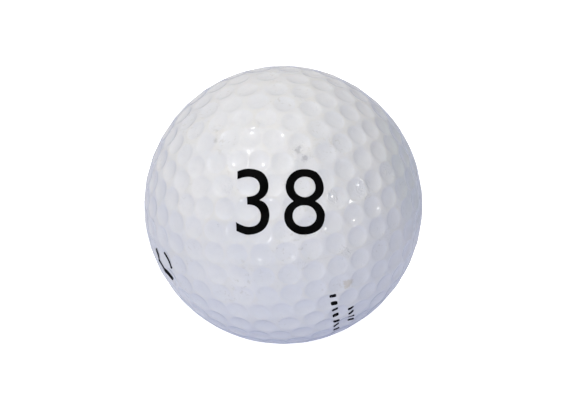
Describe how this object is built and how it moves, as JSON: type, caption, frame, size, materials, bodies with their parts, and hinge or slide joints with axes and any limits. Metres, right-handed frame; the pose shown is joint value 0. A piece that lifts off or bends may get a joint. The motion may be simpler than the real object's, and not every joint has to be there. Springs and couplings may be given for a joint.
{
  "type": "golf ball",
  "caption": "Small hard white ball with a dimpled two-cup cover over a firm mantle and a solid rubber core, marked with a plain printed number.",
  "frame": {"origin": "the centre of the ball", "axes": "+Z is the axis of the dimple pattern, square to the plane of the moulding seam, which is the XY plane; -Y is the side of the ball where the number is printed, above the seam"},
  "size_m": [0.0426, 0.0426, 0.0426],
  "materials": {
    "cover_paint": "glossy white paint over the moulded cover, lightly scuffed",
    "mantle_plastic": "satin moulded plastic",
    "core_rubber": "matt solid rubber",
    "ink": "satin black pad-printed ink"
  },
  "bodies": {
    "root": {"core": "core_rubber", "mantle_upper": "mantle_plastic", "mantle_lower": "mantle_plastic", "cover_upper": "cover_paint", "cover_lower": "cover_paint", "ink_digit_left": "ink", "ink_digit_right": "ink", "ink_stripe_side_long": "ink", "ink_stripe_side_short": "ink", "ink_stripe_edge_long": "ink", "ink_stripe_edge_short": "ink"}
  },
  "joints": []
}
